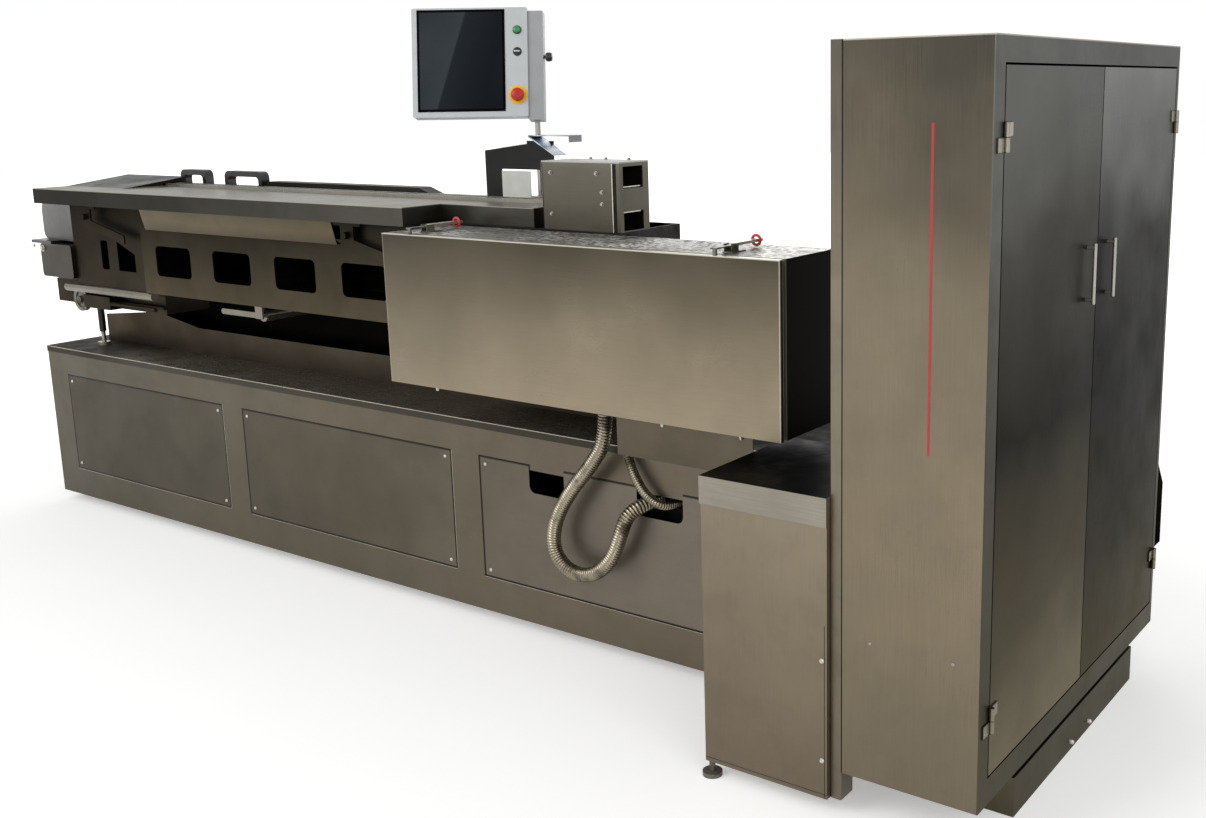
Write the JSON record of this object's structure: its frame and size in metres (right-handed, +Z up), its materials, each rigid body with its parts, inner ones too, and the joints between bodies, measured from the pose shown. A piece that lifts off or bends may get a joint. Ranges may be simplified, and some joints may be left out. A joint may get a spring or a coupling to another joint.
{
  "type": "can filling machine",
  "caption": "Tuna can filling machine: long base cabinet, beam with filling table, hanging drive box, swivel operator panel and a two-door electrical cabinet at one end.",
  "frame": {"origin": "on the floor below the middle of the whole machine", "axes": "+X along the machine towards the electrical cabinet, +Y from the operator's side to the rear, +Z up"},
  "size_m": [4.578, 1.4099, 2.0216],
  "materials": {
    "steel_sheet": "brushed, warm reflections",
    "dark_sheet": "dull, soiled",
    "pale_sheet": "brushed",
    "fittings": "satin",
    "conduit": "ribbed metal hose",
    "grey_paint": "satin powder coat",
    "screen_glass": "gloss",
    "black_plastic": "satin",
    "pale_plastic": "satin",
    "green_plastic": "gloss",
    "red_plastic": "gloss",
    "yellow_plastic": "gloss"
  },
  "bodies": {
    "frame": {"base_back_wall": "steel_sheet", "base_front_frame": "steel_sheet", "base_panels": "steel_sheet", "base_rear_panels": "steel_sheet", "base_top": "dark_sheet", "beam_back_plate": "steel_sheet", "beam_cross_plates": "steel_sheet", "beam_feet": "fittings", "beam_front_plate": "steel_sheet", "cabinet_plinth": "steel_sheet", "cabinet_roof_and_floor": "steel_sheet", "cabinet_walls": "steel_sheet", "chute_guard": "dark_sheet", "corner_posts": "steel_sheet", "deflector": "steel_sheet", "door_frame": "steel_sheet", "drive_body": "steel_sheet", "drive_cover": "steel_sheet", "drive_support": "steel_sheet", "fan_cowl": "black_plastic", "guide_rails": "fittings", "hose_bracket": "fittings", "hose_glands": "fittings", "hose_large": "conduit", "hose_small": "conduit", "housing_side_frame": "steel_sheet", "idler_roller": "pale_plastic", "infeed_slide": "fittings", "latch_bases": "fittings", "levelling_feet": "fittings", "lift_handles": "black_plastic", "panel_post": "fittings", "pedestal_body": "steel_sheet", "pedestal_cap": "pale_sheet", "raised_pan": "steel_sheet", "skirt_clamps": "steel_sheet", "splash_plate": "pale_plastic", "table_covers": "dark_sheet", "table_top": "steel_sheet", "tail_beam": "steel_sheet", "tail_box": "steel_sheet", "tail_plate": "steel_sheet", "tail_rail": "steel_sheet", "tail_wheel": "fittings", "transfer_housing": "steel_sheet"},
    "front_door": {"door_front": "steel_sheet", "handle_front": "fittings"},
    "rear_door": {"door_rear": "steel_sheet", "handle_rear": "fittings"},
    "operator_panel": {"panel_side_box": "grey_paint", "panel_case": "grey_paint", "panel_screen": "screen_glass", "stop_collar": "yellow_plastic", "clamp_knob": "black_plastic"},
    "start": {"start_button": "green_plastic"},
    "selector": {"selector_knob": "black_plastic"},
    "stop": {"stop_button": "red_plastic"},
    "left_latch": {"latch_lever_left": "fittings"},
    "right_latch": {"latch_lever_right": "fittings"}
  },
  "joints": [
    {"name": "front_door_hinge", "type": "hinge", "parent": "frame", "child": "front_door", "pos_m": [2.271, -0.626, 0.95], "axis": [0, 0, -1], "range_deg": [0, 110]},
    {"name": "rear_door_hinge", "type": "hinge", "parent": "frame", "child": "rear_door", "pos_m": [2.271, 0.607, 0.95], "axis": [0, 0, 1], "range_deg": [0, 110]},
    {"name": "panel_swivel", "type": "hinge", "parent": "frame", "child": "operator_panel", "pos_m": [0.312, 0.0895, 1.644], "axis": [0, 0, 1], "range_deg": [-60, 60]},
    {"name": "start_press", "type": "slide", "parent": "operator_panel", "child": "start", "axis": [-0.5489, 0.8138, -0.1908], "range_m": [0, 0.003], "stiffness_N_per_m": 400},
    {"name": "selector_turn", "type": "hinge", "parent": "operator_panel", "child": "selector", "pos_m": [0.25384, 0.06933, 1.87727], "axis": [-0.5489, 0.8138, -0.1908], "range_deg": [-45, 45]},
    {"name": "stop_press", "type": "slide", "parent": "operator_panel", "child": "stop", "axis": [-0.5489, 0.8138, -0.1908], "range_m": [0, 0.003]},
    {"name": "left_latch_lever", "type": "hinge", "parent": "frame", "child": "left_latch", "pos_m": [0.306, -0.4105, 1.342], "axis": [1, 0, 0], "range_deg": [0, 80]},
    {"name": "right_latch_lever", "type": "hinge", "parent": "frame", "child": "right_latch", "pos_m": [1.434, -0.4105, 1.342], "axis": [1, 0, 0], "range_deg": [0, 80]}
  ]
}
